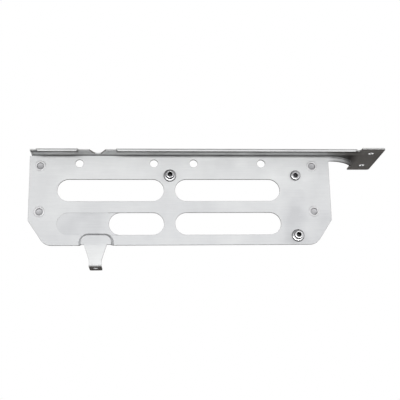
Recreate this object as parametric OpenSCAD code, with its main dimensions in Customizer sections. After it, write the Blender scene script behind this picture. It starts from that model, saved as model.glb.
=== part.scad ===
// Riser cage bracket: one folded sheet with clinched standoffs and riveted hook pins.
// The frame: X runs along the bracket, Y from its front face to its back, Z up.
// The origin is the axis of the foot's screw hole, on the underside of the foot.

/* [Sheet] */
// Thickness of the zinc-coated steel sheet
sheet_t = 1.0; // [0.8:0.1:1.2]
// Inside radius of the folds
fold_r = 0.4; // [0.3:0.1:0.8]

/* [Plate] */
// Length of the upright plate
plate_len = 200; // [190:1:215]
// Height of the flange's top above the underside of the foot
top_z = 76.4; // [74:0.2:84]
// Height of the plate's lower edge above the underside of the foot
plate_bottom_z = 14.2; // [12:0.1:16]
// Distance from the plate's left edge to the foot's screw hole
foot_from_left = 44; // [38:0.5:50]
// Distance of the plate's front face in front of the foot's screw hole
plate_front = 5; // [4:0.1:6.5]
// Width that each lower corner cut takes from the bottom edge
corner_cut_w = 11; // [8:0.5:14]
// Height that each lower corner cut takes from the side edge
corner_cut_h = 16.5; // [13:0.5:20]
// Radius where each corner cut runs into the bottom edge
corner_r = 8.5; // [5:0.5:11]

/* [Slots] */
// Height of every slot
slot_h = 15; // [12:0.5:16]
// Height of the upper slots' middle line
upper_slot_z = 51.3; // [49:0.1:54]
// Distance down from the upper slots to the lower ones
slot_pitch_z = 22.8; // [20:0.1:24]
// Length of the three long slots
slot_len = 70; // [60:0.5:72]
// Width of the upright web between the left and right slots
slot_web = 7.4; // [5:0.1:12]
// Distance from the plate's left edge to the middle of that web
web_from_left = 92.2; // [88:0.1:96]
// Length of the part of the lower left slot that is open
short_slot_len = 36; // [24:0.5:44]
// Depth of the pressed field that completes the lower left slot
field_depth = 0.25; // [0.1:0.05:0.4]

/* [Round holes] */
// Diameter of the four holes below the flange
round_d = 5.4; // [4:0.1:6]
// Distance of their centres below the top of the flange
round_drop = 6.6; // [5.5:0.1:8]
// Distance from the plate's left edge to the first hole
round_first = 32.7; // [28:0.1:38]
// Distance from the first to the second hole
round_step_1 = 49.3; // [40:0.1:55]
// Distance from the second to the third hole
round_step_2 = 26.5; // [20:0.1:32]
// Distance from the third to the fourth hole
round_step_3 = 45.5; // [38:0.1:50]

/* [Flange and return lip] */
// Distance from the plate's left edge to the flange's left end
flange_inset = 1.2; // [0.5:0.1:3]
// Reach of the flange's plain front edge in front of the plate
flange_reach = 10.3; // [9:0.1:12]
// Reach of the return lip's outer face in front of the plate
lip_reach = 12.8; // [11.5:0.1:15]
// Height of the return lip, with the sheet it hangs from
lip_h = 2.2; // [1.8:0.1:4]
// Distance from the plate's left edge to the left lip
left_lip_gap = 5.4; // [4:0.1:10]
// Length of the left lip
left_lip_len = 27; // [20:0.1:30]
// Distance between the left and the right lip
lip_gap = 25; // [21:0.1:32]
// Distance that each lip's lower corners are cut back
lip_corner = 1.2; // [0.5:0.1:2]
// Distance between the right lip's end and the relief slit
lip_to_relief = 1; // [0.6:0.1:2]
// Width of the notch at the flange's front edge
notch_w = 10.6; // [8:0.1:12]
// Radius of the bottom of the notch
notch_r = 2.9; // [2:0.1:3.5]
// Sheet left between the bottom of the notch and the plate's front face
notch_rest = 2.6; // [1.8:0.1:4]
// Distance from the foot's screw hole to the middle of the notch
notch_shift = 1; // [-2:0.1:3]

/* [Ear] */
// Width of the ear
ear_w = 15.6; // [12:0.1:18]
// Reach of the ear in front of the plate
ear_front = 14.2; // [12:0.1:16]
// Reach of the ear behind the plate's front face
ear_back = 31.6; // [27:0.1:34]
// Radius of the bend in plan that carries the plate's line into the ear
sweep_r = 20.4; // [16:0.1:23]
// Height of the stiffening lip round that bend, with its sheet
sweep_h = 4.6; // [3.5:0.1:7]
// How far round the bend that lip runs
sweep_turn = 62; // [45:1:80]
// Radius of the ear's outer corners
ear_corner_r = 1.8; // [1:0.1:3]
// Width of the relief slit between the right lip and the ear, at its mouth
relief_w = 2.4; // [1.5:0.1:3.5]
// Width of the relief slit at its bottom
relief_bottom_w = 0.8; // [0.5:0.1:1.4]
// Depth of the relief slit, from the lip's outer face
relief_depth = 3.6; // [3:0.1:6]
// Diameter of the ear's two screw holes
ear_hole_d = 3.8; // [3.2:0.1:4.5]
// Distance between the ear's two screw holes
ear_hole_pitch = 25.8; // [22:0.1:28]
// Distance of the front screw hole from the ear's front edge
ear_hole_inset = 9.3; // [6:0.1:11]
// Distance of both screw holes from the ear's right edge
ear_hole_side = 7.6; // [5:0.1:9]

/* [Joggle, tongue and foot] */
// Width of the raised field that the tongue grows from
joggle_w = 22.8; // [20:0.1:26]
// Height of that field above the plate's lower edge
joggle_h = 7.8; // [7:0.1:10]
// Distance from the foot's screw hole to the middle of the field
joggle_shift = 0.4; // [-1:0.1:1.5]
// Step of the field in front of the plate
joggle_step = 2.4; // [1.5:0.1:3]
// Width of the field's sloping wall
joggle_wall = 1.6; // [1.2:0.1:2.5]
// Radius of the field's upper corners
joggle_r = 6.2; // [4:0.1:7]
// Width of the tongue at its root
tongue_root_w = 14.8; // [12:0.1:18]
// Width of the foot and of the tongue's lower end
foot_w = 8.2; // [7:0.1:10]
// Height of the lower end of the tongue's taper above the foot's underside
taper_end_z = 4.2; // [3.5:0.1:7]
// Distance from the plate's lower edge down to where the tongue starts to lean
tongue_neck = 0.2; // [0.1:0.1:1]
// Distance of the foot's fold, at its axis, in front of the screw hole
foot_front = 4.6; // [4.2:0.1:5.5]
// Distance of the foot's back edge behind its screw hole
foot_back = 7.6; // [5:0.1:10]
// Radius of the foot's back corners
foot_corner_r = 1.5; // [0.5:0.1:3]
// Diameter of the foot's screw hole
foot_hole_d = 3.4; // [3:0.1:4]

/* [Standoffs] */
// Distance from the plate's left edge to the upper left standoff
standoff_from_left = 92.6; // [88:0.1:96]
// Height of the two upper standoffs
standoff_z = 61.4; // [60:0.1:66]
// Distance between the standoffs along the plate
standoff_pitch_x = 84.3; // [80:0.1:90]
// Distance down to the lower right standoff
standoff_pitch_z = 41.2; // [38:0.1:44]
// Height of the two shouldered standoffs above the plate
standoff_h = 4; // [2:0.1:8]
// Diameter of their barrels
barrel_d = 5.6; // [4.6:0.1:6.6]
// Diameter of their shoulders
shoulder_d = 8.3; // [7:0.1:10]
// Thickness of their shoulders
shoulder_t = 1.1; // [0.6:0.1:1.6]
// Height of the low standoff above the plate
low_h = 1.6; // [1:0.1:4]
// Diameter of the low standoff
low_d = 6.8; // [5.6:0.1:8]
// Diameter of the threaded blind bores, at the thread's crests
thread_d = 2.5; // [2:0.1:3]
// Thickness of the shank's closed end behind each bore
bore_floor = 0.5; // [0.4:0.05:0.7]
// Width of the bevel at the mouth of each bore
mouth_bevel = 0.4; // [0.2:0.05:0.6]
// Diameter of the clinched shank inside the plate
shank_d = 5.0; // [4.2:0.1:5.4]

/* [Hook pins] */
// Distance from the plate's left edge to the left pair of pins
pin_from_left = 7.1; // [6:0.1:10]
// Distance from the right pair of pins to the plate's right edge
pin_from_right = 11.6; // [8:0.1:14]
// Distance of the upper pair below the top of the flange
pin_drop = 8.3; // [7.5:0.1:10]
// Distance from the upper pair down to the lower pair
pin_pitch_z = 31.4; // [28:0.1:33]
// Diameter of the rolled ring that a pin is riveted with
ring_d = 7.2; // [6:0.1:9]
// Height of the rolled ring above the plate
ring_h = 0.45; // [0.3:0.05:0.8]
// Diameter of the dished hollow inside the ring
dish_d = 4.5; // [3.6:0.1:4.8]
// Depth of the hollow below the plate's front face
dish_depth = 0.5; // [0.3:0.05:0.8]
// Diameter of the pin's tenon, which fills its hole in the plate
tenon_d = 5.2; // [5:0.1:5.6]
// Diameter of the pin's neck behind the plate
neck_d = 6; // [5.8:0.1:6.5]
// Length of the neck, for a keyhole in the panel behind
neck_len = 1.4; // [1:0.1:2]
// Diameter of the pin's head
head_d = 8.4; // [7.5:0.1:9]
// Thickness of the pin's head
head_t = 1.2; // [0.8:0.1:2]
// Bevel round the end of the pin's head
head_bevel = 0.3; // [0.1:0.05:0.5]

/* [Hidden] */
$fn = 48;

over = 1;                                   // how far a cut runs past the sheet
tiny = 0.01;                                // how far outlines that would only touch run across each other
plate_y = -plate_front;                     // the plate's front face
plate_back_y = plate_y + sheet_t;           // the plate's back face
left_x = -foot_from_left;                   // the plate's left edge
right_x = left_x + plate_len;               // the plate's right edge
flange_z = top_z - sheet_t;                 // the flange's underside
fold_out = fold_r + sheet_t;                // outside radius of a fold
fold_top = top_z - fold_out;                // height of the fold's axis

web_x = left_x + web_from_left;
lower_slot_z = upper_slot_z - slot_pitch_z;
left_slot_x = web_x - slot_web / 2 - slot_len;
right_slot_x = web_x + slot_web / 2;
short_slot_x = web_x - slot_web / 2 - short_slot_len;
field_len = slot_len - short_slot_len / 2;  // the pressed field ends in the middle of the open slot

round_z = top_z - round_drop;
round_x = [
    left_x + round_first,
    left_x + round_first + round_step_1,
    left_x + round_first + round_step_1 + round_step_2,
    left_x + round_first + round_step_1 + round_step_2 + round_step_3
];

cut_angle = atan(corner_cut_h / corner_cut_w);
corner_tan = corner_r * tan(cut_angle / 2); // from a cut's corner to where its rounding starts

lip_y = plate_y - lip_reach;                // the lip's outer face
edge_y = plate_y - flange_reach;            // the flange's plain front edge
flange_x = left_x + flange_inset;           // the flange's left end
left_lip_x = left_x + left_lip_gap;
right_lip_x = left_lip_x + left_lip_len + lip_gap;
ear_x = right_x + sweep_r;                  // the ear's left edge
ear_end_x = ear_x + ear_w;
ear_y = plate_y - ear_front;
ear_back_y = plate_y + ear_back;
right_lip_end = ear_x - relief_w - lip_to_relief;
ear_hole_x = ear_end_x - ear_hole_side;
ear_hole_y = ear_y + ear_hole_inset;

joggle_y = plate_y - joggle_step;           // the raised field's front face
joggle_angle = atan(joggle_step / joggle_wall);
joggle_miter = sheet_t * tan(joggle_angle / 2);
flat_half = joggle_w / 2 - joggle_wall;     // half the flat part of the field
field_top_z = plate_bottom_z + joggle_h;
tongue_z = plate_bottom_z - tongue_neck;    // where the tongue starts to lean
tongue_drop = tongue_z - fold_out;          // from there down to the height of the foot's fold
tongue_back = joggle_step + plate_front - foot_front;
tongue_far = norm([tongue_back, tongue_drop]);
tongue_lean = atan2(tongue_back, tongue_drop) - asin(fold_out / tongue_far);
tongue_run = sqrt(tongue_far * tongue_far - fold_out * fold_out);

pin_z = top_z - pin_drop;
pin_places = [
    [left_x + pin_from_left, pin_z],
    [left_x + pin_from_left, pin_z - pin_pitch_z],
    [right_x - pin_from_right, pin_z],
    [right_x - pin_from_right, pin_z - pin_pitch_z]
];
standoff_x = left_x + standoff_from_left;
standoff_places = [
    [standoff_x, standoff_z],
    [standoff_x + standoff_pitch_x, standoff_z],
    [standoff_x + standoff_pitch_x, standoff_z - standoff_pitch_z]
];

// ---- placing helpers ----

// Carries an X-Z outline into a sheet from one Y to another.
module upright(from_y, to_y) {
    translate([0, to_y, 0]) rotate([90, 0, 0]) linear_extrude(to_y - from_y) children();
}

// Carries a Y-Z section along X from one place to another.
module along(from_x, to_x) {
    translate([from_x, 0, 0]) rotate([90, 0, 90]) linear_extrude(to_x - from_x) children();
}

// Puts a turned piece, drawn upwards from the plate's front face, on its place on the plate.
module on_plate(place) {
    translate([place[0], plate_y, place[1]]) rotate([90, 0, 0]) children();
}

// A slot outline with round ends, from its left end and its middle line.
module slot_outline(x, z, len, h) {
    translate([x + h / 2, z]) circle(d = h);
    translate([x + len - h / 2, z]) circle(d = h);
    translate([x + h / 2, z - h / 2]) square([len - h, h]);
}

// A quarter of a bent sheet's section, from angle 0 to 90 round the fold's axis.
module fold_section(r) {
    intersection() {
        difference() {
            circle(r + sheet_t);
            circle(r);
        }
        square(r + sheet_t);
    }
}

// ---- the folded sheet ----

// The plate's outline with its two cut and rounded lower corners.
module plate_outline() {
    bottom = plate_bottom_z;
    difference() {
        translate([left_x, bottom]) square([plate_len, fold_top - bottom]);
        translate([right_x, bottom]) lower_corner_cut();
        translate([left_x, bottom]) mirror([1, 0]) lower_corner_cut();
    }
}

// What is taken off the lower right corner, which is at the origin.
module lower_corner_cut() {
    start = corner_cut_w + corner_tan;
    difference() {
        polygon([
            [over, -over], [-start, -over], [-start, 0],
            [-corner_cut_w + corner_tan * cos(cut_angle), corner_tan * sin(cut_angle)],
            [0, corner_cut_h], [over, corner_cut_h]
        ]);
        translate([-start, corner_r]) circle(corner_r + tiny);
    }
}

// What is taken off a square corner at the origin to round it.
module corner_rounding(r) {
    difference() {
        translate([-over, -over]) square(r + over);
        translate([r, r]) circle(r + tiny);
    }
}

module plate_sheet() {
    upright(plate_y, plate_back_y) plate_outline();
}

// The fold along the plate's top edge, and the flange's flat part up to its front edge.
module flange_sheet() {
    along(flange_x, right_x) translate([plate_y - fold_r, fold_top]) fold_section(fold_r);
    translate([flange_x, edge_y, flange_z])
        cube([ear_x - flange_x, flange_reach - fold_r, sheet_t]);
}

// The return lip's section: the flange's last stretch, the fold and the hanging edge.
module lip_section() {
    axis_y = lip_y + fold_out;
    translate([axis_y, flange_z]) square([edge_y - axis_y + over, sheet_t]);
    translate([axis_y, fold_top]) mirror([1, 0]) fold_section(fold_r);
    translate([lip_y, top_z - lip_h]) square([sheet_t, lip_h - fold_out]);
}

// What is taken off the lip's lower left corner, which is at the origin.
module lip_corner_cut() {
    polygon([
        [-over, -over], [lip_corner, -over], [lip_corner, 0],
        [0, lip_corner], [-over, lip_corner]
    ]);
}

// One return lip, with both lower corners cut back.
module lip(from_x, to_x) {
    difference() {
        along(from_x, to_x) lip_section();
        upright(lip_y - over, lip_y + sheet_t + over) {
            translate([from_x, top_z - lip_h]) lip_corner_cut();
            translate([to_x, top_z - lip_h]) mirror([1, 0]) lip_corner_cut();
        }
    }
}

// The ear and the sheet that sweeps from the plate's line round to it.
module ear_sheet() {
    centre = [right_x, plate_y + sweep_r];
    arc_end = centre + (sweep_r + fold_r) * [sin(sweep_turn - 2), -cos(sweep_turn - 2)];
    edge_end = [ear_x, centre[1]];
    translate([0, 0, flange_z]) linear_extrude(sheet_t) {
        difference() {
            translate([right_x, edge_y]) square([sweep_r, plate_y + sweep_r - edge_y]);
            translate(centre) circle(sweep_r + fold_r);
        }
        // beyond the lip's end the sheet's edge runs straight to the ear
        polygon([
            arc_end + (arc_end - edge_end) / 10, edge_end,
            [ear_x + over, edge_end[1]], [ear_x + over, arc_end[1]]
        ]);
        difference() {
            translate([ear_x, ear_y]) square([ear_w, ear_front + ear_back]);
            translate([ear_end_x, ear_y]) mirror([1, 0]) corner_rounding(ear_corner_r);
            translate([ear_end_x, ear_back_y]) rotate(180) corner_rounding(ear_corner_r);
        }
    }
}

// The stiffening lip that hangs from the sweep: the plate's own fold, carried on round the bend.
module sweep_lip() {
    translate([right_x, plate_y + sweep_r, 0]) rotate([0, 0, -90]) rotate_extrude(angle = sweep_turn) {
        translate([sweep_r + fold_r, fold_top]) mirror([1, 0]) fold_section(fold_r);
        translate([sweep_r - sheet_t, top_z - sweep_h]) square([sheet_t, sweep_h - fold_out]);
    }
}

// The notch in the flange's front edge: a taper with a round bottom.
module notch_cut() {
    mid_y = plate_y - notch_rest - notch_r;
    run = mid_y - edge_y;
    half = notch_w / 2;
    turn = acos(notch_r / norm([half, run])) - atan2(run, half);    // where the taper meets the round bottom
    touch = [notch_r * cos(turn), notch_r * sin(turn)];
    translate([notch_shift, mid_y, flange_z - over]) linear_extrude(sheet_t + 2 * over) {
        circle(notch_r + tiny);
        polygon([
            [-touch[0], touch[1]], touch, [half, -run], [half, -run - over],
            [-half, -run - over], [-half, -run]
        ]);
    }
}

// The slit that parts the right lip from the ear, narrower at its bottom.
module relief_cut() {
    half = relief_w / 2;
    toe = relief_bottom_w / 2;
    translate([ear_x - half, lip_y, flange_z - over]) linear_extrude(sheet_t + 2 * over)
        polygon([
            [-half, -over], [half, -over], [half, 0],
            [toe, relief_depth], [-toe, relief_depth], [-half, 0]
        ]);
}

// ---- joggle, tongue and foot ----

// Section of the sloping wall; it starts at the edge of the flat and falls away from it.
module wall_section() {
    polygon([
        [-joggle_miter, joggle_step], [0, joggle_step],
        [joggle_wall, 0], [joggle_wall, -sheet_t],
        [joggle_wall - joggle_miter, -sheet_t], [-joggle_miter, joggle_step - sheet_t]
    ]);
}

// The raised field, drawn in X-Z with its height above the plate's front face along +Z.
module joggle_field() {
    inner_r = joggle_r - joggle_wall;
    flat_top = joggle_h - joggle_wall;
    corner_x = flat_half - inner_r;
    corner_z = flat_top - inner_r;
    inset = joggle_miter - tiny;
    // the flat
    translate([0, 0, joggle_step - sheet_t]) linear_extrude(sheet_t)
        rounded_top(flat_half - inset, flat_top - inset, inner_r - inset);
    // the upper wall
    translate([-corner_x, flat_top, 0]) rotate([90, 0, 90]) linear_extrude(2 * corner_x) wall_section();
    for (side = [0, 1]) mirror([side, 0, 0]) {
        // a side wall
        translate([flat_half, corner_z, 0]) rotate([90, 0, 0]) linear_extrude(corner_z) wall_section();
        // a corner
        translate([corner_x, corner_z, 0]) rotate_extrude(angle = 90) translate([inner_r, 0]) wall_section();
    }
}

// A field outline on the bottom edge, with its two upper corners rounded.
module rounded_top(half_w, h, r) {
    translate([-half_w, 0]) square([2 * half_w, h - r]);
    translate([-half_w + r, 0]) square([2 * (half_w - r), h]);
    intersection() {
        for (side = [-1, 1]) translate([side * (half_w - r), h - r]) circle(r);
        translate([-half_w - over, 0]) square([2 * (half_w + over), h + over]);
    }
}

// The tongue's section: a short upright neck, the leaning part and the fold into the foot.
module tongue_section() {
    neck_z = tongue_z + sheet_t * tan(tongue_lean / 2) / 2;     // half way up the bend's mitre
    translate([joggle_y, neck_z]) square([sheet_t, plate_bottom_z + over - neck_z]);
    translate([-foot_front, fold_out]) rotate(tongue_lean) {
        translate([-fold_out, 0]) square([sheet_t, tongue_run + over]);
        rotate(180) fold_section(fold_r);
    }
}

// The taper from the root of the tongue to the width of the foot.
module tongue_outline() {
    root = tongue_root_w / 2;
    toe = foot_w / 2;
    top = plate_bottom_z;
    polygon([
        [-toe, -over], [toe, -over], [toe, taper_end_z], [root, top],
        [root, top + over], [-root, top + over], [-root, top], [-toe, taper_end_z]
    ]);
}

module tongue_and_foot() {
    intersection() {
        along(-tongue_root_w / 2 - over, tongue_root_w / 2 + over) tongue_section();
        upright(joggle_y, -foot_front) tongue_outline();
    }
    linear_extrude(sheet_t) difference() {
        translate([-foot_w / 2, -foot_front]) square([foot_w, foot_back + foot_front]);
        translate([-foot_w / 2, foot_back]) mirror([0, 1]) corner_rounding(foot_corner_r);
        translate([foot_w / 2, foot_back]) rotate(180) corner_rounding(foot_corner_r);
    }
}

// The hole that the raised field leaves in the plate.
module joggle_opening() {
    upright(plate_y - over, plate_back_y + over) translate([joggle_shift, plate_bottom_z - over])
        rounded_top(joggle_w / 2, joggle_h + over, joggle_r);
}

// ---- cuts in the plate ----

module plate_cuts() {
    upright(plate_y - over, plate_back_y + over) {
        slot_outline(left_slot_x, upper_slot_z, slot_len, slot_h);
        slot_outline(right_slot_x, upper_slot_z, slot_len, slot_h);
        slot_outline(short_slot_x, lower_slot_z, short_slot_len, slot_h);
        slot_outline(right_slot_x, lower_slot_z, slot_len, slot_h);
        for (x = round_x) translate([x, round_z]) circle(d = round_d);
        for (place = standoff_places) translate(place) circle(d = shank_d);
        for (place = pin_places) translate(place) circle(d = tenon_d);
    }
    // the shallow pressed field that completes the lower left slot
    upright(plate_y - over, plate_y + field_depth)
        slot_outline(left_slot_x, lower_slot_z, field_len, slot_h);
}

module screw_cuts() {
    for (step = [0, 1])
        translate([ear_hole_x, ear_hole_y + step * ear_hole_pitch, flange_z - over])
            cylinder(d = ear_hole_d, h = sheet_t + 2 * over);
    translate([0, 0, -over]) cylinder(d = foot_hole_d, h = sheet_t + 2 * over);
}

module sheet_bracket() {
    color("gainsboro") difference() {
        union() {
            difference() {
                plate_sheet();
                joggle_opening();
                plate_cuts();
            }
            flange_sheet();
            lip(left_lip_x, left_lip_x + left_lip_len);
            lip(right_lip_x, right_lip_end);
            ear_sheet();
            sweep_lip();
            translate([joggle_shift, plate_y, plate_bottom_z]) rotate([90, 0, 0]) joggle_field();
            tongue_and_foot();
        }
        notch_cut();
        relief_cut();
        screw_cuts();
    }
}

// ---- clinched standoffs ----

// A standoff with a shoulder on the plate, a slimmer barrel and a blind threaded bore.
module shouldered_standoff() {
    bore = thread_d / 2;
    rotate_extrude() polygon([
        [0, -sheet_t], [shank_d / 2, -sheet_t], [shank_d / 2, 0],
        [shoulder_d / 2, 0], [shoulder_d / 2, shoulder_t],
        [barrel_d / 2, shoulder_t], [barrel_d / 2, standoff_h],
        [bore + mouth_bevel, standoff_h], [bore, standoff_h - mouth_bevel],
        [bore, bore_floor - sheet_t], [0, bore_floor - sheet_t]
    ]);
}

// The low standoff: one disc with a blind threaded bore.
module low_standoff() {
    bore = thread_d / 2;
    rotate_extrude() polygon([
        [0, -sheet_t], [shank_d / 2, -sheet_t], [shank_d / 2, 0], [low_d / 2, 0], [low_d / 2, low_h],
        [bore + mouth_bevel, low_h], [bore, low_h - mouth_bevel],
        [bore, bore_floor - sheet_t], [0, bore_floor - sheet_t]
    ]);
}

module standoff_upper_left() { color("silver") on_plate(standoff_places[0]) shouldered_standoff(); }
module standoff_upper_right() { color("silver") on_plate(standoff_places[1]) low_standoff(); }
module standoff_lower_right() { color("silver") on_plate(standoff_places[2]) shouldered_standoff(); }

// ---- riveted hook pins ----

// Section of the rolled ring: a low round bead that stands on the plate's front face.
module ring_section() {
    half = (ring_d - dish_d) / 4;
    round = (half * half + ring_h * ring_h) / (2 * ring_h);
    intersection() {
        translate([(ring_d + dish_d) / 4, ring_h - round]) circle(round);
        translate([dish_d / 2, 0]) square([2 * half, ring_h]);
    }
}

// A shouldered pin: the rolled ring and dished hollow in front, neck and head behind.
module hook_pin() {
    back = -sheet_t - neck_len;
    rotate_extrude() {
        polygon([
            [0, back - head_t], [head_d / 2 - head_bevel, back - head_t],
            [head_d / 2, back - head_t + head_bevel], [head_d / 2, back],
            [neck_d / 2, back], [neck_d / 2, -sheet_t],
            [tenon_d / 2, -sheet_t], [tenon_d / 2, 0],
            [dish_d / 2, 0], [dish_d / 2 - dish_depth, -dish_depth], [0, -dish_depth]
        ]);
        ring_section();
    }
}

module hook_pin_upper_left() { color("darkgray") on_plate(pin_places[0]) hook_pin(); }
module hook_pin_lower_left() { color("darkgray") on_plate(pin_places[1]) hook_pin(); }
module hook_pin_upper_right() { color("darkgray") on_plate(pin_places[2]) hook_pin(); }
module hook_pin_lower_right() { color("darkgray") on_plate(pin_places[3]) hook_pin(); }

// ---- the nodes ----

sheet_bracket();
standoff_upper_left();
standoff_upper_right();
standoff_lower_right();
hook_pin_upper_left();
hook_pin_lower_left();
hook_pin_upper_right();
hook_pin_lower_right();
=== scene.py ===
# %% [markdown]
# # The looks of a riser cage bracket
# A riser card stands upright in a flat server and carries expansion cards. This bracket holds it:
# one blank of zinc-coated steel, punched and folded, with threaded standoffs clinched into it and
# hook pins riveted through it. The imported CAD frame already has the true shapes, so this lesson
# loads it as it is and spends its effort on the finish of the steel, the threads in the standoffs
# and the studio.

# %% Load the frame
import math

import bpy
import numpy as np
from mathutils import Matrix, Vector


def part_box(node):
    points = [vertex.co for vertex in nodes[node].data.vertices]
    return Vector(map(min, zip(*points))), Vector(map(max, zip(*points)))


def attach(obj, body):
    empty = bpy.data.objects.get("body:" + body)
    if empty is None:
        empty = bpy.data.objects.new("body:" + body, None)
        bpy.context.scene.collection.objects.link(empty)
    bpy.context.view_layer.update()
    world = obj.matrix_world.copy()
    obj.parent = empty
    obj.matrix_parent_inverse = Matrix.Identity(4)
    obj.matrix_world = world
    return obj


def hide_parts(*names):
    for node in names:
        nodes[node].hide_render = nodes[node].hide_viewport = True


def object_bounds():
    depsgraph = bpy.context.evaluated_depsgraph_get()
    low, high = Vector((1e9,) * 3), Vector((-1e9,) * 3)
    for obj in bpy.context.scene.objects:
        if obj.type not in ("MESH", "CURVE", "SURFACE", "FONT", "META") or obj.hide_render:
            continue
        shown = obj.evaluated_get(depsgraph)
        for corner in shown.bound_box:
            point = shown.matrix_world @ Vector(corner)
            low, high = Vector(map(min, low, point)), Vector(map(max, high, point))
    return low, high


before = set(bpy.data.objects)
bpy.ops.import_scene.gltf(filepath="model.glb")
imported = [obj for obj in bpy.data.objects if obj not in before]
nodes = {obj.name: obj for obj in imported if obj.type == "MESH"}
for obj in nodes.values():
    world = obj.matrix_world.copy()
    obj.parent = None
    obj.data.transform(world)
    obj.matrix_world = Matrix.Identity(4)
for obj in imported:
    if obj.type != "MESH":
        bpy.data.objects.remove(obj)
cad_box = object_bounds()
print("nodes in the frame:", len(nodes))
print("CAD box in mm:", [round((b - a) * 1000, 1) for a, b in zip(*cad_box)])

# %% [markdown]
# ## Helpers
# Colours are written as the hex values that a paint program shows. A shader wants linear light, so
# one function turns them. A second one adds a shader node with its settings, the stops of its
# colour ramp and its links in one call. The same could be done by hand in the node editor, but then
# nobody could read why a value is what it is.

# %% Colours and nodes
MM = 0.001


def linear(code):
    """An sRGB hex colour as linear RGBA.

    Each channel c becomes c / 12.92 where it is dark and ((c + 0.055) / 1.055) ** 2.4 above.
    """
    c = np.array([int(code[i:i + 2], 16) for i in (1, 3, 5)]) / 255
    c = np.where(c <= 0.04045, c / 12.92, ((c + 0.055) / 1.055) ** 2.4)
    return (*c.tolist(), 1.0)


def add(tree, kind, sockets=None, stops=(), **settings):
    """Adds a shader node. settings are its properties and stops the rows (place, colour) of its
    colour ramp. sockets are values, or outputs to link from.
    """
    node = tree.nodes.new("ShaderNode" + kind)
    for name, value in settings.items():
        setattr(node, name, value)
    for number, (at, colour) in enumerate(stops):
        ramp = node.color_ramp.elements
        stop = ramp[number] if number < 2 else ramp.new(at)
        stop.position, stop.color = at, colour
    for name, value in (sockets or {}).items():
        if isinstance(value, bpy.types.NodeSocket):
            tree.links.new(value, node.inputs[name])
        else:
            node.inputs[name].default_value = value
    return node


def new_material(name):
    """An empty material with its Principled shader already on the output."""
    material = bpy.data.materials.new(name)
    material.use_nodes = True
    tree = material.node_tree
    tree.nodes.clear()
    shader = add(tree, "BsdfPrincipled")
    add(tree, "OutputMaterial", {"Surface": shader.outputs[0]})
    return material, tree, shader


print("helpers ready; mid grey #808080 is", round(linear("#808080")[0], 3), "in linear light")

# %% [markdown]
# ## Masks on the sheet
# The sheet is one piece, but its finish changes from place to place: a cut edge is bare, a fold has
# its lines, a rim is rubbed. Each place could get a material of its own, face by face, or be
# painted into an image. Here it is a mask, a number from 0 to 1 that the shader works out from the
# place in millimetres and from the direction of the surface. Masks follow the drawing's own sizes,
# stay sharp at any distance and need no unwrapping.

# %% Masks from place and direction
HARD = 0.01    # the width of a hard step, in mm or as a share of a direction


def millimetres(tree):
    """The place on the piece in mm, as three outputs: x, y and z."""
    place = add(tree, "TexCoord").outputs["Object"]
    scaled = add(tree, "VectorMath", {0: place, "Scale": 1 / MM}, operation="SCALE").outputs[0]
    return add(tree, "SeparateXYZ", {"Vector": scaled}).outputs


def facing(tree):
    """How far the surface faces along X, Y and Z, either way: 0 is edge-on and 1 is face-on."""
    normal = add(tree, "NewGeometry").outputs["True Normal"]
    either_way = add(tree, "VectorMath", {0: normal}, operation="ABSOLUTE").outputs[0]
    return add(tree, "SeparateXYZ", {"Vector": either_way}).outputs


def where(tree, *steps):
    """A mask: the product of one straight rise from 0 to 1 for each step (value, 0 at, 1 at)."""
    mask = 1
    for value, none, full in steps:
        step = add(tree, "MapRange", {"Value": value, "From Min": none, "From Max": full})
        mask = add(tree, "Math", {0: mask, 1: step.outputs[0]}, operation="MULTIPLY").outputs[0]
    return mask


def any_of(tree, *masks):
    """A mask that holds wherever one of several does: the greatest of them."""
    whole = masks[0]
    for mask in masks[1:]:
        whole = add(tree, "Math", {0: whole, 1: mask}, operation="MAXIMUM").outputs[0]
    return whole


print("a hard step is", HARD, "mm wide")

# %% [markdown]
# ## Where the sheet was cut
# The zinc is on the two sides of the sheet only. Where the punch or the shear went through, the
# edge is bare steel, greyer and duller, and it draws a thin dark line round every outline and slot.
# Which faces are cut follows from the sheet's shape. Where the sheet stands upright its coated
# sides face along Y, so a face that doesn't is a cut. Where it lies flat the same is true of Z. A
# punch that fits tightly leaves a shiny wall, as in the screw holes of the ear and the foot. The
# long edges of the flange and the ear are taken as sheared, and show only a little of the bare
# colour.

# %% Cut edges
FOOT_UNDERSIDE, FLANGE_TOP = 0.0, 76.4    # the two levels of flat sheet, in mm
FOOT_FOLD, FLANGE_FOLD = 2.5, 1.5         # how far from them the sheet has turned upright
LIES_FLAT = 0.95                          # a little less than the sheet, which lies flat there
EDGE_ON, FACE_ON = 0.3, 0.7               # limits for the direction of a face
SCREW_HOLES = [(184.4, -9.9), (184.4, 15.9), (0, 0)]    # two in the ear and one in the foot
HOLE_REACH = 2.2                          # a little more than the larger hole's radius
SHEARED_SHINE = 0.75                      # how much of the bare colour a sheared edge hides


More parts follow.
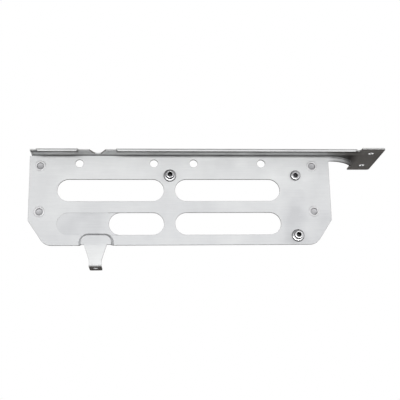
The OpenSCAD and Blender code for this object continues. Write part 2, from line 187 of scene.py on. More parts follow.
def cut_faces(tree):
    """Two masks: how bare a cut edge looks, and 1 on the walls of the screw holes.

    Upright sheet lies between its two folds, and its cuts face little along Y. Flat sheet lies in
    the foot and the flange, and its cuts face little along Z. Round the foot's fold only the ends
    across X are cuts.
    """
    x, y, z = millimetres(tree)
    across, out, up = facing(tree)
    foot_end, flange_end = FOOT_UNDERSIDE + FOOT_FOLD, FLANGE_TOP - FLANGE_FOLD
    upright = where(tree, (z, foot_end, foot_end + HARD), (z, flange_end, flange_end - HARD),
                    (out, EDGE_ON, EDGE_ON - HARD))
    in_foot = where(tree, (z, FOOT_UNDERSIDE + LIES_FLAT, FOOT_UNDERSIDE + LIES_FLAT - HARD))
    in_flange = where(tree, (z, FLANGE_TOP - LIES_FLAT, FLANGE_TOP - LIES_FLAT + HARD))
    flat = where(tree, (any_of(tree, in_foot, in_flange), 0, 1), (up, EDGE_ON, EDGE_ON - HARD))
    ends = where(tree, (z, foot_end, foot_end - HARD), (across, FACE_ON, FACE_ON + HARD))
    cut = any_of(tree, upright, flat, ends)
    plan = add(tree, "CombineXYZ", {"X": x, "Y": y}).outputs[0]
    holes = []
    for centre in SCREW_HOLES:
        away = add(tree, "VectorMath", {0: plan, 1: (*centre, 0)}, operation="DISTANCE")
        holes.append(where(tree, (away.outputs["Value"], HOLE_REACH, HOLE_REACH - HARD)))
    wall = where(tree, (any_of(tree, *holes), 0, 1), (flat, 0, 1))
    sheared = where(tree, (flat, 0, 1), (out, FACE_ON, FACE_ON + HARD))
    shine = add(tree, "MapRange", {"Value": sheared, "To Max": SHEARED_SHINE}).outputs[0]
    shiny = any_of(tree, wall, shine)
    bare = add(tree, "Math", {0: cut, 1: shiny}, operation="SUBTRACT").outputs[0]
    return bare, wall


print("screw holes with shiny walls:", len(SCREW_HOLES))

# %% [markdown]
# ## The tone of the zinc coat
# The blank is cold-rolled steel with an electrolytic zinc coat. Such a coat has no spangle. It is a
# pale, slightly cool silver, matt enough that nothing is mirrored in it as a shape. Fine lines run
# along the strip where the rolls touched it, and faint clouds show where the coat took up its
# passivation a little more or less. The lines are 0.2 mm wide in reality and are drawn 0.7 mm wide
# here, since finer ones wouldn't show.
#
# Four wider changes lie over them, and all four are painted light and shade: the coat is painted
# darker towards the lower edge as painted shade, paler on the tongue below the joggle as painted
# light, darker in the field that is pressed back beside the short slot as painted shade, and it has
# one soft painted dark reflection right of the slots. Their strengths are chosen. They could come
# from lamps, but lamps would move them whenever the view turns, so here they are painted on the
# sheet.

# %% Coat tone
LINE_WIDTH, LINE_LENGTH, LINE_SHARE = 0.7 * MM, 25, 0.18    # length in widths
CLOUD_SIZE = 28 * MM
# Painted shade: the coat is painted darker towards the lower edge.
COAT_PAINTED_SHADE, PAINTED_SHADE_Z = 0.15, (22, 75)
# Painted light: the tongue is painted paler.
TONGUE_PAINTED_LIGHT, TONGUE_Z = 0.35, (11, 15)
# A painted dark reflection right of the slots.
DARK_REFLECTION_LOSS, DARK_REFLECTION_CENTRE, DARK_REFLECTION_SIZE, DARK_REFLECTION_EDGE = 0.42, (130.5, -5, 35), (8, 8, 17), (0.5, 1.8)
# Painted shade: the pressed field is painted darker.
FIELD_PAINTED_SHADE, FIELD_X, FIELD_Z, FIELD_R, FIELD_END = 0.14, -18, 28.5, (7.2, 7.7), (2, 10)


def pressed_field(tree):
    """A mask on the pressed field, half a stadium.

    Its left end is round: the distance from the arc's centre, counted along X only left of it,
    is less than the arc's radius. Its right end fades out before the short slot.
    """
    x, y, z = millimetres(tree)
    left = add(tree, "Math", {0: FIELD_X, 1: x}, operation="SUBTRACT").outputs[0]
    left = add(tree, "Math", {0: left, 1: 0}, operation="MAXIMUM").outputs[0]
    above = add(tree, "Math", {0: z, 1: FIELD_Z}, operation="SUBTRACT").outputs[0]
    from_centre = add(tree, "CombineXYZ", {"X": left, "Y": above}).outputs[0]
    apart = add(tree, "VectorMath", {0: from_centre}, operation="LENGTH").outputs["Value"]
    return where(tree, (apart, FIELD_R[1], FIELD_R[0]), (x, FIELD_END[1], FIELD_END[0]))


def coat_tone(tree):
    """How pale the coat is, from 0 to 1, with its painted light, shade and dark reflection, and the
    rolling lines alone.
    """
    place = add(tree, "TexCoord").outputs["Object"]
    long = add(tree, "Mapping", {"Vector": place, "Scale": (1 / LINE_LENGTH, 1, 1)}).outputs[0]
    lines = {"Vector": long, "Scale": 1 / LINE_WIDTH, "Detail": 3}
    lines = add(tree, "TexNoise", lines).outputs[0]
    clouds = {"Vector": place, "Scale": 1 / CLOUD_SIZE, "Detail": 4}
    clouds = add(tree, "TexNoise", clouds).outputs[0]
    tone = add(tree, "Mix", {"Factor": LINE_SHARE, "A": clouds, "B": lines}).outputs[0]

    z = millimetres(tree)[2]
    # Painted shade towards the lower edge, painted light on the tongue and painted shade in the
    # pressed field.
    lower_shade = {"Value": z, "From Min": PAINTED_SHADE_Z[0], "From Max": PAINTED_SHADE_Z[1],
            "To Min": -COAT_PAINTED_SHADE, "To Max": COAT_PAINTED_SHADE}
    tongue = {"Value": z, "From Min": TONGUE_Z[0], "From Max": TONGUE_Z[1],
              "To Min": TONGUE_PAINTED_LIGHT, "To Max": 0}
    field = {"Value": pressed_field(tree), "To Max": -FIELD_PAINTED_SHADE}

    # The painted dark reflection is a ball in coordinates squeezed by its sizes, and the clouds make
    # its edge uneven.
    squeeze = tuple(1 / (size * MM) for size in DARK_REFLECTION_SIZE)
    centre = tuple(at / size for at, size in zip(DARK_REFLECTION_CENTRE, DARK_REFLECTION_SIZE))
    squeezed = add(tree, "VectorMath", {0: place, 1: squeeze}, operation="MULTIPLY").outputs[0]
    away = add(tree, "VectorMath", {0: squeezed, 1: centre}, operation="DISTANCE").outputs["Value"]
    away = add(tree, "Math", {0: away, 1: clouds}, operation="ADD").outputs[0]
    dark_reflection = {"Value": away, "From Min": DARK_REFLECTION_EDGE[0], "From Max": DARK_REFLECTION_EDGE[1],
             "To Min": -DARK_REFLECTION_LOSS, "To Max": 0}

    # The painted shade, the painted light and the painted dark reflection are added to the tone
    # here.
    for change in (lower_shade, tongue, dark_reflection, field):
        change = add(tree, "MapRange", change).outputs[0]
        tone = add(tree, "Math", {0: tone, 1: change}, operation="ADD").outputs[0]
    return tone, lines


print("rolling lines", round(LINE_WIDTH / MM, 1), "mm wide, clouds", round(CLOUD_SIZE / MM), "mm")

# %% [markdown]
# ## Painted shade along the folds
# On the underside of the flange, grey lines of painted shade run along the fold and behind the
# return lip. In the gap between the two lips there is no fold at the front, so the front lines are
# left out. The lip that sweeps round to the ear has bands of painted dark reflection along its upper
# part and is painted darker towards the ear as painted shade. All of it is tone on the sheet, with
# no relief. The levels are chosen too.

# %% Painted shade along the folds and painted reflection on the sweep lip
# Places in mm. The rows hold (place, grey level), and the pairs (where a mask is 0, where it is 1).
# Painted shade under the flange, darkest along the fold and behind the lip.
FOLD_SHADE_ROWS = [(-18, 0.45), (-11.9, 0.45), (-11.0, 0.95), (-8.2, 0.9), (-6.6, 0.6), (-5.8, 0.35)]
GAP_LEFT_X, GAP_RIGHT_X, PAST_LIP_Y = (-11.6, -11.59), (13.4, 13.39), -10.6
UNDERSIDE_Z, LINES_END_X = (74.6, 74.7), (178, 172)
# Bands of painted dark reflection across the sweep lip.
SWEEP_REFLECTION_ROWS = [(72.16, 0.75), (72.88, 1), (73.78, 0.95), (74.32, 0.55), (74.86, 1)]
SWEEP_UPRIGHT = (0.5, 0.49)
SWEEP_LOW_Z, SWEEP_HIGH_Z, SWEEP_X, SWEEP_Y = (71.3, 71.5), (75.5, 75.3), (157, 160), (-5.5, -5.3)
# Painted shade on the sweep lip towards the ear.
SWEEP_SHADE_X, SWEEP_SHADE_LEVEL = (167, 173), 0.35


def greys_across(tree, place, rows):
    """Grey levels along one direction, from rows (place in mm, level), straight between them."""
    first, last = rows[0][0], rows[-1][0]
    share = add(tree, "MapRange", {"Value": place, "From Min": first, "From Max": last}).outputs[0]
    stops = [((at - first) / (last - first), (level, level, level, 1)) for at, level in rows]
    return add(tree, "ValToRGB", {"Fac": share}, stops=stops).outputs[0]


def darkened(tree, colour, mask, greys):
    """The colour, multiplied by the greys where the mask says so.

    A Mix node has sockets of the same name for every type of data, so colours go by number: 0 is
    the factor, 6 and 7 are the two colours and output 2 is the result.
    """
    return add(tree, "Mix", {0: mask, 6: colour, 7: greys}, data_type="RGBA",
               blend_type="MULTIPLY").outputs[2]


def painted_fold_shade(tree, colour):
    """Paints shade on the underside of the flange by the rows along Y, which start behind the lip's
    gap.
    """
    x, y, z = millimetres(tree)
    normal = add(tree, "NewGeometry").outputs["True Normal"]
    up = add(tree, "SeparateXYZ", {"Vector": normal}).outputs["Z"]
    gap = where(tree, (x, *GAP_LEFT_X), (x, *GAP_RIGHT_X))
    front = {"Value": gap, "To Min": FOLD_SHADE_ROWS[0][0], "To Max": PAST_LIP_Y}
    front = add(tree, "MapRange", front).outputs[0]
    under = where(tree, (up, -EDGE_ON, -EDGE_ON - HARD), (z, *UNDERSIDE_Z), (x, *LINES_END_X))
    return darkened(tree, colour, under, greys_across(tree, any_of(tree, y, front), FOLD_SHADE_ROWS))


def painted_sweep_reflection(tree, colour):
    """Paints bands of dark reflection on the sweep lip by the rows along Z, and shade evenly towards
    the ear.
    """
    x, y, z = millimetres(tree)
    up = facing(tree)[2]
    sweep_shade = {"Value": x, "From Min": SWEEP_SHADE_X[0], "From Max": SWEEP_SHADE_X[1],
             "To Min": 1, "To Max": SWEEP_SHADE_LEVEL}
    sweep_shade = add(tree, "MapRange", sweep_shade).outputs[0]
    greys = {0: greys_across(tree, z, SWEEP_REFLECTION_ROWS), 1: sweep_shade}
    greys = add(tree, "Math", greys, operation="MULTIPLY").outputs[0]
    swept = where(tree, (up, *SWEEP_UPRIGHT), (z, *SWEEP_LOW_Z), (z, *SWEEP_HIGH_Z),
                  (x, *SWEEP_X), (y, *SWEEP_Y))
    return darkened(tree, colour, swept, greys)


print("rows of tone:", len(FOLD_SHADE_ROWS), "under the flange and", len(SWEEP_REFLECTION_ROWS), "on the sweep lip")

# %% [markdown]
# ## Painted shade on the rims
# Beside each cut the sheet is rolled over for about 0.2 mm, and that rounded rim is painted dark
# grey as painted shade. It is drawn about twice as wide, so that it shows. A rim could be a strip of
# small faces, but the frame's mesh stays as it is. The Bevel node gives the normal that a rounded
# edge would have, so a rim is where that normal leaves the true one. The soft step round the pressed
# field would be drawn as a rim too, so the mask is switched off there.

# %% Rims
RIM_WIDTH = 0.45 * MM
RIM_TURN = (0.98, 0.78)    # the normals' dot product where a rim starts and where it is full
SOFT_STEP = [("Z", 14.8, 15), ("Z", 37.4, 37), ("X", -28, -27), ("X", 8, 7.6)]


def painted_rim_shade(tree):
    """A mask on the rims, where shade is painted: the dot product of the rounded and the true normal
    falls there.
    """
    rounded_off = add(tree, "Bevel", {"Radius": RIM_WIDTH}, samples=6).outputs[0]
    own = add(tree, "NewGeometry").outputs["Normal"]
    both = {0: rounded_off, 1: own}
    along = add(tree, "VectorMath", both, operation="DOT_PRODUCT").outputs["Value"]
    place = millimetres(tree)
    soft_step = where(tree, *[(place[axis], none, full) for axis, none, full in SOFT_STEP])
    return where(tree, (along, *RIM_TURN), (soft_step, 1, 0))


print("rims are drawn", round(RIM_WIDTH / MM, 2), "mm wide")

# %% [markdown]
# ## The finish of the sheet
# All of it comes together in one metallic shader. The tone, with its painted light and shade, picks
# the coat's colour between two silvers and its roughness between two matt values, the lines give a
# faint relief, and the masks lay the painted shade along the folds and on the rims, the painted
# reflection on the sweep lip and the bare steel over it. Several materials could share the sheet
# instead, but one shader lets them fade into each other. A metal's colour is the colour of its
# reflection, so its IOR stays at the default.

# %% Sheet finish
COAT_SILVERS = [(0.15, linear("#CFD0D2")), (0.85, linear("#F8F9F9"))]
# The first grey is painted shade on the rounded rims, the second the bare steel of the cut edges.
RIM_SHADE_GREY, BARE_STEEL = linear("#504E4C"), linear("#8C8A87")
MATT_TONES, COAT_ROUGHNESS, WALL_ROUGHNESS = (0.3, 0.7), (0.64, 0.72), 0.2
LINE_DEPTH, LINE_STRENGTH = 0.05 * MM, 0.08


def zinc_sheet():
    """Electro-zinced steel: metallic, matt, with rolling lines, clouds, bare cut edges and painted
    light, shade and reflection.
    """
    material, tree, shader = new_material("zinc_coated_steel")
    tone, lines = coat_tone(tree)
    bare, wall = cut_faces(tree)
    colour = add(tree, "ValToRGB", {"Fac": tone}, stops=COAT_SILVERS).outputs[0]
    # Painted shade under the flange, then the painted reflection and shade on the sweep lip.
    colour = painted_sweep_reflection(tree, painted_fold_shade(tree, colour))
    # Painted shade on the rims, then the bare steel of the cut edges.
    for mask, over in ((painted_rim_shade(tree), RIM_SHADE_GREY), (bare, BARE_STEEL)):
        colour = add(tree, "Mix", {0: mask, 6: colour, 7: over}, data_type="RGBA").outputs[2]
    coat = {"Value": tone, "From Min": MATT_TONES[0], "From Max": MATT_TONES[1],
            "To Min": COAT_ROUGHNESS[0], "To Max": COAT_ROUGHNESS[1]}
    coat = add(tree, "MapRange", coat).outputs[0]
    rough = add(tree, "MapRange", {"Value": wall, "To Min": coat, "To Max": WALL_ROUGHNESS})
    relief = {"Height": lines, "Strength": LINE_STRENGTH, "Distance": LINE_DEPTH}
    relief = add(tree, "Bump", relief)
    shader.inputs["Metallic"].default_value = 1
    tree.links.new(colour, shader.inputs["Base Color"])
    tree.links.new(rough.outputs[0], shader.inputs["Roughness"])
    tree.links.new(relief.outputs[0], shader.inputs["Normal"])
    return material


sheet_steel = zinc_sheet()
nodes["sheet_bracket"].data.materials.clear()
nodes["sheet_bracket"].data.materials.append(sheet_steel)
print("sheet finished with", sheet_steel.name)

# %% [markdown]
# ## Turned pieces
# The standoffs and the hook pins come from a lathe. They could be stacked from cylinders, but a
# turned piece is one line, its profile, carried round an axis, so here it is a surface of two
# parameters: the angle and the place along the profile. Each corner of the profile gets a rounding,
# because a turned and plated edge is never sharp and only a rounded edge catches the light. Three
# numbers go with every point for the materials: its distance from the axis, which turning marks
# follow, how deep it lies inside a bore or a hollow, and how much of a side wall it is, from 0
# where the profile runs outwards to 1 where it runs along the axis.

# %% Profile and surface of revolution
SHEET = 1.0 * MM
plate_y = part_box("standoff_upper_left")[1].y - SHEET    # a clinched shank ends flush with the back


def rounded(corners, steps=5):
    """A profile with rounded corners, from rows of (distance from axis, height, rounding) in mm.

    Each corner b becomes the curve (1 - t)^2 a + 2 t (1 - t) b + t^2 c, where a and c lie on its
    two sides, one rounding away from it.
    """
    corners = np.array(corners, float)
    place, size = corners[:, :2], corners[1:-1, 2:]
    step = np.diff(place, axis=0)
    step /= np.linalg.norm(step, axis=1, keepdims=True)
    before, after = place[1:-1] - size * step[:-1], place[1:-1] + size * step[1:]
    t = np.linspace(0, 1, steps)[:, None, None]
    curve = (1 - t) ** 2 * before + 2 * t * (1 - t) * place[1:-1] + t ** 2 * after
    return np.concatenate([place[:1], curve.transpose(1, 0, 2).reshape(-1, 2), place[-1:]])


def turned(name, node, profile, inside, around=96, cut=None):
    """A surface of revolution that stands on the plate's front face and replaces a CAD node.

    The point at angle a and profile row (r, h) is the axis plus r cos a along X, r sin a along Z
    and h out of the plate, along -Y. cut adds to r where it depends on the angle too. The first
    and the last row are poles on the axis.
    """
    low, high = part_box(node)
    angle = np.arange(around) / around * 2 * np.pi
    radius = np.repeat(profile[:, :1], around, axis=1)
    height = np.repeat(profile[:, 1:], around, axis=1)
    if cut is not None:
        radius = radius + cut(height, angle)
    ring = np.stack([radius * np.cos(angle), -height, radius * np.sin(angle)], axis=-1)
    ring = ring[1:-1].reshape(-1, 3)
    poles = np.array([[0, -profile[0, 1], 0], [0, -profile[-1, 1], 0]])
    axis = np.array([(low.x + high.x) / 2, plate_y, (low.z + high.z) / 2])
    points = np.concatenate([ring, poles]) * MM + axis
    here = np.arange(len(ring)).reshape(-1, around)
    beside = np.roll(here, -1, axis=1)
    quads = np.stack([here[:-1], beside[:-1], beside[1:], here[1:]], axis=-1).reshape(-1, 4)
    start = np.stack([np.full(around, len(ring)), beside[0], here[0]], axis=-1)
    end = np.stack([here[-1], beside[-1], np.full(around, len(ring) + 1)], axis=-1)
    mesh = bpy.data.meshes.new(name)
    mesh.from_pydata(points.tolist(), [], quads.tolist() + start.tolist() + end.tolist())
    mesh.shade_smooth()
    depth = np.repeat(np.asarray(inside, float)[1:-1], around)
    run = np.gradient(profile, axis=0)
    side = np.abs(run[:, 1]) / np.linalg.norm(run, axis=1)
    values = {
        "from_axis": np.concatenate([np.linalg.norm(ring[:, [0, 2]], axis=1), [0, 0]]) * MM,
        "inside": np.concatenate([depth, [inside[0], inside[-1]]]),
        "side": np.concatenate([np.repeat(side[1:-1], around), [0, 0]]),
    }
    for key, value in values.items():
        mesh.attributes.new(key, "FLOAT", "POINT").data.foreach_set("value", value)
    piece = bpy.data.objects.new(name, mesh)
    bpy.context.scene.collection.objects.link(piece)
    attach(piece, "root")
    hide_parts(node)
    print(name, "has", len(mesh.polygons), "faces")
    return piece


print("the plate's front face is at", round(plate_y / MM, 2), "mm")

# %% [markdown]
# ## Clinched standoffs
# A clinched standoff is pressed into a plain hole: the sheet flows into a groove under its shoulder
# and holds it. Two have a round-shouldered collar and a slim barrel, and one is a low disc. Each
# has a blind M3 thread. Rings stacked along the bore would look much the same, but the thread is a
# true helix here: a triangular groove whose place along the bore shifts by one pitch for each turn.
# It costs nothing more and stays true up close. It starts below a bevel at the mouth.

# %% Standoffs
# Distances from the axis (R), heights above the plate (H, END) and roundings (ROUND), in mm.
SHANK_R, SHANK_END, SHANK_ROUND = 2.5, -1.0, 0.05
COLLAR_R, COLLAR_H, COLLAR_ROUND = 4.15, 1.1, 0.85
BARREL_R, BARREL_H, BARREL_FOOT, BARREL_ROUND = 2.8, 4.0, 0.12, 0.45
DISC_R, DISC_H, DISC_ROUND = 3.4, 1.6, 0.8
INNER_CORNER = 0.02
BORE_R, BEVEL, BORE_END, MOUTH_ROUND = 1.25, 0.4, -0.5, 0.08
# The bore is painted dark as painted shade, fully so this far below its mouth.
DARK_BELOW = 1.2    # how far below the mouth the bore is fully dark
PITCH, THREAD_DEPTH, THREAD_FLAT, ROWS_PER_PITCH = 0.5, 0.25, 0.1, 8


def thread(height, angle):
    """How much deeper than the crest the bore is.

    It is a triangle wave of height / pitch - angle / turn, whose tips are flat for a tenth of a
    pitch.
    """
    turn = height / PITCH - angle / (2 * np.pi)
    groove = (np.abs(turn % 1 - 0.5) - THREAD_FLAT / 2) / (0.5 - THREAD_FLAT)
    return THREAD_DEPTH * np.clip(groove, 0, 1)


def standoff(node, body):
    """A turned standoff: body is its outer profile, from the shank to the rim of its bore."""
    top = body[-1][1]
    outer = rounded([(0, SHANK_END, 0), (SHANK_R, SHANK_END, SHANK_ROUND),
                     (SHANK_R, 0, INNER_CORNER), *body,
                     (BORE_R + BEVEL, top, MOUTH_ROUND), (BORE_R, top - BEVEL, 0)])
    rows = np.arange(top - BEVEL, BORE_END, -PITCH / ROWS_PER_PITCH)[1:]
    bore = np.stack([np.full(len(rows), BORE_R), rows], axis=1)
    profile = np.concatenate([outer, bore, [[BORE_R, BORE_END], [0, BORE_END]]])
    # inside is how far the painted shade of the bore has grown, 0 at the mouth and 1 deep in it.
    inside = np.clip((top - profile[:, 1]) / DARK_BELOW, 0, 1) * (profile[:, 0] <= BORE_R)
    inside[0] = 0    # the pole at the back
    threaded = np.zeros(len(profile))
    threaded[len(outer):-2] = 1
    return turned(node + "_turned", node, profile, inside,
                  cut=lambda height, angle: threaded[:, None] * thread(height, angle))


SHOULDERED = [(COLLAR_R, 0, INNER_CORNER), (COLLAR_R, COLLAR_H, COLLAR_ROUND),
              (BARREL_R, COLLAR_H, BARREL_FOOT), (BARREL_R, BARREL_H, BARREL_ROUND)]
LOW = [(DISC_R, 0, INNER_CORNER), (DISC_R, DISC_H, DISC_ROUND)]
standoffs = [
    standoff("standoff_upper_left", SHOULDERED),
    standoff("standoff_upper_right", LOW),
    standoff("standoff_lower_right", SHOULDERED),
]

# %% [markdown]
# ## Riveted hook pins
# A hook pin has a neck and a wide head behind the plate, to hang in a keyhole. Its front end is
# pushed through the sheet and rolled over into a round ring, which leaves a shallow hollow in the
# middle. The ring could be a torus laid on a disc, but pin and ring are one piece of steel, so half
# an ellipse is set into the profile and the whole pin is turned at once.

# %% Hook pins
# Distances from the axis and heights above the plate's front face, in mm.
HEAD_R, HEAD_BACK, HEAD_FRONT, HEAD_BEVEL, HEAD_ROUND = 4.2, -3.6, -2.4, 0.3, 0.1
NECK_R, TENON_R, TENON_END = 3.0, 2.6, -1
RING_R, RING_HALF, RING_H, RING_ROWS = 2.9, 0.7, 0.45, 16
HOLLOW_DEPTH, HOLLOW_DRAFT, HOLLOW_ROUND = 0.5, 0.1, 0.3


def hook_pin(node):
    """A turned pin: head, neck and tenon, then the rolled ring as half an ellipse, then the hollow.

    The ring's row at angle t is (middle + half width * cos t, height * sin t).
    """
    back = rounded([(0, HEAD_BACK, 0), (HEAD_R - HEAD_BEVEL, HEAD_BACK, HEAD_ROUND),
                    (HEAD_R, HEAD_BACK + HEAD_BEVEL, HEAD_ROUND), (HEAD_R, HEAD_FRONT, HEAD_ROUND),
                    (NECK_R, HEAD_FRONT, HEAD_ROUND), (NECK_R, TENON_END, INNER_CORNER),
                    (TENON_R, TENON_END, INNER_CORNER), (TENON_R, 0, INNER_CORNER),
                    (RING_R + RING_HALF, 0, 0)])
    t = np.linspace(0, np.pi, RING_ROWS + 1)[1:]
    ring = np.stack([RING_R + RING_HALF * np.cos(t), RING_H * np.sin(t)], axis=1)
    rim = RING_R - RING_HALF
    hollow = rounded([(rim, 0, 0), (rim - HOLLOW_DRAFT, -HOLLOW_DEPTH, HOLLOW_ROUND),
                      (0, -HOLLOW_DEPTH, 0)])[1:]
    profile = np.concatenate([back, ring, hollow])
    inside = np.zeros(len(profile))
    inside[-len(hollow):] = 1
    return turned(node + "_turned", node, profile, inside)


corners = ("upper_left", "lower_left", "upper_right", "lower_right")
pins = [hook_pin("hook_pin_" + corner) for corner in corners]

# %% [markdown]
# ## Plated turned steel
# Both kinds of piece are free-cutting steel, turned and then zinc plated. The lathe's tool leaves
# rings of 0.05 to 0.1 mm. They are drawn 0.25 mm wide, since finer ones wouldn't show. They could be
# modelled as grooves, but a colour and a relief that follow the distance from the axis give the same
# gleam with no more faces. The standoffs' tops are bright, their side walls are painted dark as
# painted shade, and their bores are painted darker with depth as painted shade. The pins' ring and
# side walls are painted pale all round as a painted highlight, and their hollow is painted darker as
# painted shade.

# %% Turned finishes
RING_WIDTH, RING_DEPTH, RING_STRENGTH = 0.25 * MM, 0.04 * MM, 0.25
SPECK_SIZE, SPECK_SHARE = 0.6 * MM, 0.4
PAINTED_SIDE_SHARE = (0.25, 0.8)    # the side share where the painted side colour starts and where it is full
TURNED_TONES, GLOSS_SPREAD, DEEP_ROUGHNESS = (0.3, 0.7), 0.08, 0.5


def plated(name, bright, side, deep, gloss):
    """Zinc-plated turned steel: rings that follow the distance from the axis.

    bright are the darkest and the palest colour of its faces, side the colour of its side walls,
    painted shade on the standoffs and a painted highlight on the pins, deep the painted shade inside
    a bore or a hollow, and gloss its lowest roughness.
    """
    material, tree, shader = new_material(name)
    away = add(tree, "Attribute", attribute_name="from_axis").outputs["Fac"]
    within = add(tree, "Attribute", attribute_name="inside").outputs["Fac"]
    wall = where(tree, (add(tree, "Attribute", attribute_name="side").outputs["Fac"], *PAINTED_SIDE_SHARE))
    place = add(tree, "TexCoord").outputs["Object"]
    rings = add(tree, "TexNoise", {"W": away, "Scale": 1 / RING_WIDTH, "Detail": 2},
                noise_dimensions="1D").outputs[0]
    specks = {"Vector": place, "Scale": 1 / SPECK_SIZE, "Detail": 3}
    specks = add(tree, "TexNoise", specks).outputs[0]
    tone = add(tree, "Mix", {"Factor": SPECK_SHARE, "A": rings, "B": specks}).outputs[0]
    silvers = [(at, linear(code)) for at, code in zip(TURNED_TONES, bright)]
    colour = add(tree, "ValToRGB", {"Fac": tone}, stops=silvers).outputs[0]
    for mask, over in ((wall, side), (within, deep)):
        covered = {0: mask, 6: colour, 7: linear(over)}
        colour = add(tree, "Mix", covered, data_type="RGBA").outputs[2]
    face = {"Value": tone, "From Min": TURNED_TONES[0], "From Max": TURNED_TONES[1],
            "To Min": gloss, "To Max": gloss + GLOSS_SPREAD}
    face = add(tree, "MapRange", face).outputs[0]
    rough = add(tree, "MapRange", {"Value": within, "To Min": face, "To Max": DEEP_ROUGHNESS})
    relief = {"Height": rings, "Strength": RING_STRENGTH, "Distance": RING_DEPTH}
    relief = add(tree, "Bump", relief)
    shader.inputs["Metallic"].default_value = 1
    tree.links.new(colour, shader.inputs["Base Color"])
    tree.links.new(rough.outputs[0], shader.inputs["Roughness"])
    tree.links.new(relief.outputs[0], shader.inputs["Normal"])
    return material


# The standoffs' dark side walls and dark bores are painted shade.
standoff_plating = plated("bright_zinc_turned_steel", bright=("#B2B2B4", "#CDCDCF"),
                          side="#3C3C3E", deep="#4A4A4C", gloss=0.24)
# The pins' pale ring and side walls are a painted highlight, and their darker hollow is painted
# shade.
pin_plating = plated("zinc_turned_steel_painted_highlight_and_shade", bright=("#E2E2E3", "#EEEEEF"),
                     side="#F2F2F3", deep="#A8A8AA", gloss=0.6)
for piece in standoffs:
    piece.data.materials.append(standoff_plating)
for piece in pins:
    piece.data.materials.append(pin_plating)
print("finished", len(standoffs), "standoffs and", len(pins), "pins")

# %% [markdown]
# ## The studio
# Metal shows its surroundings, so the surroundings are the lighting. The room and the floor look
# white to the camera and to reflections, and are dimmer for the rays that only carry light, so that
# the floor keeps a shadow. An image of a real studio could light it too, but a white room alone
# would let the folds vanish, so dark cards that only reflections see give them something to mirror:
# one below and one behind for the undersides of the flange and the ear, one above for the upper
# faces, and a grey one high in front that keeps the plate off pure white.

# %% Room, floor and cards
low, high = cad_box
FLOOR_Z = low.z - 0.26
FLOOR_REACH = 12
FLOOR_GLOW = 0.8    # how much of the floor's look is plain white, which no lamp or shadow changes
ROOM_SEEN, ROOM_LIGHT = 1.0, 0.6
DULL = 0.9          # the roughness of matt paint


def looked_at(tree):
    """1 for camera, glossy and transmission rays, 0 for the rays that light the object."""
    path = add(tree, "LightPath")
    seen = path.outputs["Is Camera Ray"]
    for ray in ("Is Glossy Ray", "Is Transmission Ray"):
        either = {0: seen, 1: path.outputs[ray]}
        seen = add(tree, "Math", either, operation="MAXIMUM").outputs[0]
    return seen


def plane(name, centre, across, up, colour):
    """A rectangle: centre plus u times across plus v times up, for u and v from -1 to 1."""
    u, v = np.array([-1, 1, 1, -1]), np.array([-1, -1, 1, 1])
    points = np.array(centre) + np.outer(u, across) + np.outer(v, up)
    mesh = bpy.data.meshes.new(name)
    mesh.from_pydata(points.tolist(), [], [(0, 1, 2, 3)])
    piece = bpy.data.objects.new(name, mesh)
    bpy.context.scene.collection.objects.link(piece)
    material, tree, shader = new_material(name + "_finish")
    shader.inputs["Base Color"].default_value = linear(colour)
    shader.inputs["Roughness"].default_value = DULL
    mesh.materials.append(material)
    return piece


def flag(name, centre, across, up, colour="#3A332D"):
    """A card that only reflections see, dark and a little warm unless a colour is given."""
    card = plane(name, centre, across, up, colour)
    card.visible_camera = False
    card.visible_diffuse = False
    card.visible_shadow = False
    card.visible_transmission = False
    return card


floor = plane("floor", (0.05, 0, FLOOR_Z), (FLOOR_REACH, 0, 0), (0, FLOOR_REACH, 0), "#E4E4E4")
tree = floor.data.materials[0].node_tree
glow = add(tree, "Emission", {"Color": (1, 1, 1, 1), "Strength": 1})
share = add(tree, "Math", {0: looked_at(tree), 1: FLOOR_GLOW}, operation="MULTIPLY")
painted = tree.nodes["Principled BSDF"].outputs[0]
paler = add(tree, "MixShader", {0: share.outputs[0], 1: painted, 2: glow.outputs[0]})
tree.links.new(paler.outputs[0], tree.nodes["Material Output"].inputs[0])

world = bpy.data.worlds.new("white_room")
bpy.context.scene.world = world
world.use_nodes = True
room = world.node_tree
room.nodes.clear()
level = add(room, "MapRange", {"Value": looked_at(room), "To Min": ROOM_LIGHT, "To Max": ROOM_SEEN})
white = add(room, "Background", {"Color": (1, 1, 1, 1), "Strength": level.outputs[0]})
add(room, "OutputWorld", {"Surface": white.outputs[0]})

cards = [    # the centre and the two half sides of each, in metres
    flag("flag_behind", (0.55, 0.7, -0.13), (0.67, 0, 0), (0, 0, 0.13)),
    flag("flag_below", (0.07, 0.55, FLOOR_Z + 0.004), (1.2, 0, 0), (0, 0.95, 0)),
    flag("flag_above", (0.07, -0.2, 1.3), (1.7, 0, 0), (0, 0.8, 0)),
    flag("flag_front", (-0.5, -1.9, 1.32), (1.13, 0, 0), (0, 0, 1.2), "#808080"),
]
print("floor at", round(FLOOR_Z / MM), "mm,", len(cards), "cards")

# %% [markdown]
# ## The lamps
# A lamp above the bracket would leave a band of shadow under the flange. The key lamp is a wide,
# low strip instead, in front and almost level with the plate, so that its light reaches under the
# flange and draws the return lips. A second soft lamp behind and above keeps the back of the plate
# from going dull in the views from behind.

# %% Lamps
KEY_DISTANCE, KEY_TURN, KEY_RISE = 1.5, 2.5, 1.0    # metres, and degrees to the left and up
KEY_WIDTH, KEY_HEIGHT, KEY_POWER = 1.0, 0.12, 8.7
BACK_OFFSET, BACK_WIDTH, BACK_HEIGHT, BACK_POWER = (0.3, 1.4, 0.45), 1.2, 0.5, 7


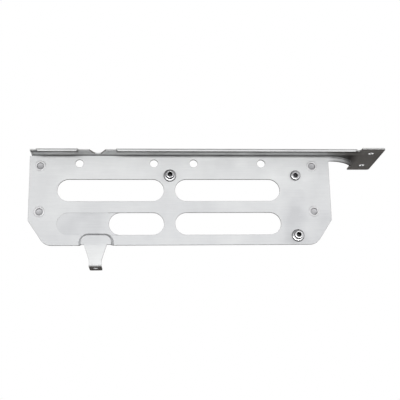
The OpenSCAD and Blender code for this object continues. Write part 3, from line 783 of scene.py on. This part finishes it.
def lamp(name, position, target, width, height, power):
    """A rectangular soft lamp that looks at its target."""
    data = bpy.data.lights.new(name, "AREA")
    data.shape, data.size, data.size_y, data.energy = "RECTANGLE", width, height, power
    light = bpy.data.objects.new(name, data)
    light.location = position
    direction = Vector(target) - Vector(position)
    light.rotation_euler = direction.to_track_quat("-Z", "Y").to_euler()
    bpy.context.scene.collection.objects.link(light)


middle = (low + high) / 2
turn, rise = math.radians(KEY_TURN), math.radians(KEY_RISE)
level_way = Vector((-math.sin(turn), -math.cos(turn), 0))
towards = math.cos(rise) * level_way + Vector((0, 0, math.sin(rise)))
lamp("key_lamp", middle + KEY_DISTANCE * towards, middle, KEY_WIDTH, KEY_HEIGHT, KEY_POWER)
lamp("back_lamp", middle + Vector(BACK_OFFSET), middle, BACK_WIDTH, BACK_HEIGHT, BACK_POWER)
print("key lamp", KEY_POWER, "W and back lamp", BACK_POWER, "W")

# %% [markdown]
# ## The camera
# A long lens looks up at the bracket from in front, a little below it and a little to its left, so
# that the undersides of the flange and the ear show. Its place and its three angles could be set by
# dragging. They are numbers here, so that the view stays the same in each run.

# %% Camera
LENS, SENSOR = 75.8, 36    # mm
CAMERA_PLACE = (0.032457, -0.542723, -0.100508)
PITCH_UP, YAW_RIGHT, ROLL = 15.066, 3.827, -1.069    # degrees

camera_data = bpy.data.cameras.new("camera")
camera_data.sensor_width = SENSOR
camera_data.lens = LENS
camera_data.clip_start, camera_data.clip_end = 0.01, 20
camera = bpy.data.objects.new("camera", camera_data)
bpy.context.scene.collection.objects.link(camera)
bpy.context.scene.camera = camera
camera.location = CAMERA_PLACE
pitch, yaw, roll = math.radians(PITCH_UP), math.radians(YAW_RIGHT), math.radians(ROLL)
camera.rotation_euler = (math.pi / 2 + pitch, 0, -yaw)
tilted = camera.rotation_euler.to_matrix() @ Matrix.Rotation(roll, 3, "Z")
camera.rotation_euler = tilted.to_euler()
bpy.context.scene.view_settings.view_transform = "Standard"
print("camera looks up", round(math.degrees(pitch), 1), "degrees")

# %% End
print("scene built")
